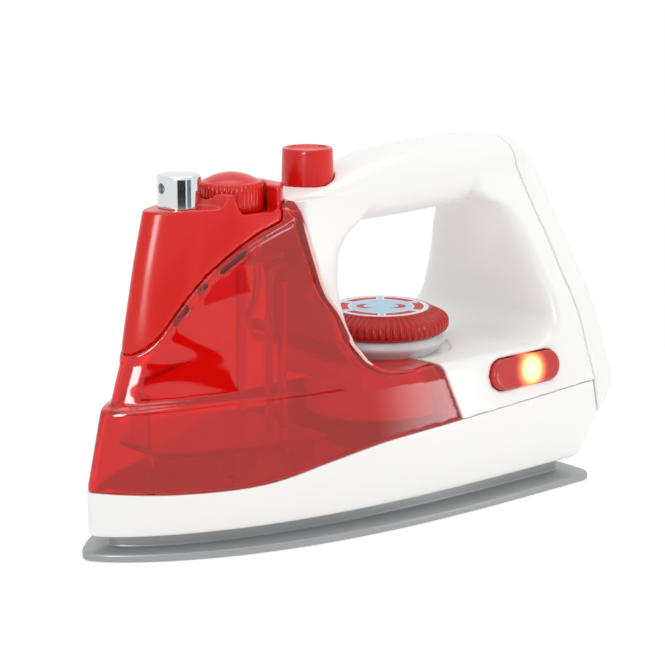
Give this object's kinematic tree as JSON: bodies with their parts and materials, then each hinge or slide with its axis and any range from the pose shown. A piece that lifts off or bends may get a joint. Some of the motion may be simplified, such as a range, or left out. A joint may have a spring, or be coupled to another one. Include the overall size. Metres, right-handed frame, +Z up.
{
  "type": "toy steam iron",
  "caption": "Toy iron with a closed handle, clear red water tank, pump spray button, filler cap, turning dial and lit side button on a flat soleplate.",
  "frame": {"origin": "centre of the outline seen from above, on the soleplate's underside", "axes": "+Z up, -X towards the nose, -Y the side with the light button"},
  "size_m": [0.233, 0.104, 0.1404],
  "materials": {
    "soleplate": "satin grey moulding",
    "white_shell": "polished white",
    "clear_red": "polished, see-through",
    "red_plastic": "polished red",
    "seal_rubber": "dull",
    "nozzle_plating": "mirror plating",
    "pale_plastic": "natural, unpigmented",
    "grey_plastic": "satin",
    "steel": "zinc plated",
    "dial_print": "printed disc",
    "lamp": "clear resin",
    "switch_black": "dull",
    "board_green": "lacquered",
    "cell_can": "printed sleeve"
  },
  "bodies": {
    "housing": {"soleplate": "soleplate", "battery_door": "soleplate", "base_shell": "white_shell", "body_shell_left": "white_shell", "body_shell_right": "white_shell", "rear_cover": "white_shell", "button_guide": "white_shell", "water_tank": "clear_red", "tank_tray": "clear_red", "front_cover": "red_plastic", "filler_neck": "red_plastic", "spray_nozzle": "nozzle_plating", "spray_tube": "pale_plastic", "dip_tube": "pale_plastic", "pump_cylinder": "pale_plastic", "nozzle_core": "grey_plastic", "dial_collar": "grey_plastic", "button_spring": "steel", "valve_ball": "steel", "board_screws": "steel", "battery_contacts": "steel", "door_screw": "steel", "sole_screws": "steel", "body_screws": "steel", "rear_cover_screws": "steel", "light_lamp": "lamp", "light_switch": "switch_black", "circuit_board": "board_green", "battery_cells": "cell_can"},
    "spray_button": {"spray_button": "red_plastic", "pump_plunger": "grey_plastic", "plunger_seal": "seal_rubber"},
    "dial": {"dial_knob": "red_plastic", "dial_label": "dial_print", "dial_shaft": "grey_plastic", "dial_clip": "steel"},
    "cap_seal_ring": {"cap_seal": "seal_rubber"},
    "filler_cap": {"filler_cap": "red_plastic"},
    "light_button": {"light_button": "red_plastic"}
  },
  "joints": [
    {"name": "spray_button_press", "type": "slide", "parent": "housing", "child": "spray_button", "axis": [0, 0, -1], "range_m": [0, 0.0055], "stiffness_N_per_m": 600, "springref_m": -0.002, "deforming": ["button_spring"]},
    {"name": "dial_turn", "type": "hinge", "parent": "housing", "child": "dial", "pos_m": [0.0269, 0, 0.07], "axis": [0, 0, 1], "continuous": true},
    {"name": "filler_cap_lift", "type": "slide", "parent": "housing", "child": "cap_seal_ring", "axis": [0, 0, 1], "range_m": [0, 0.03]},
    {"name": "filler_cap_turn", "type": "hinge", "parent": "cap_seal_ring", "child": "filler_cap", "pos_m": [-0.0475, 0, 0.12], "axis": [0, 0, 1], "continuous": true},
    {"name": "light_button_press", "type": "slide", "parent": "housing", "child": "light_button", "axis": [0, 0.9864, -0.1644], "range_m": [0, 0.0012], "stiffness_N_per_m": 800, "springref_m": -0.0006}
  ]
}
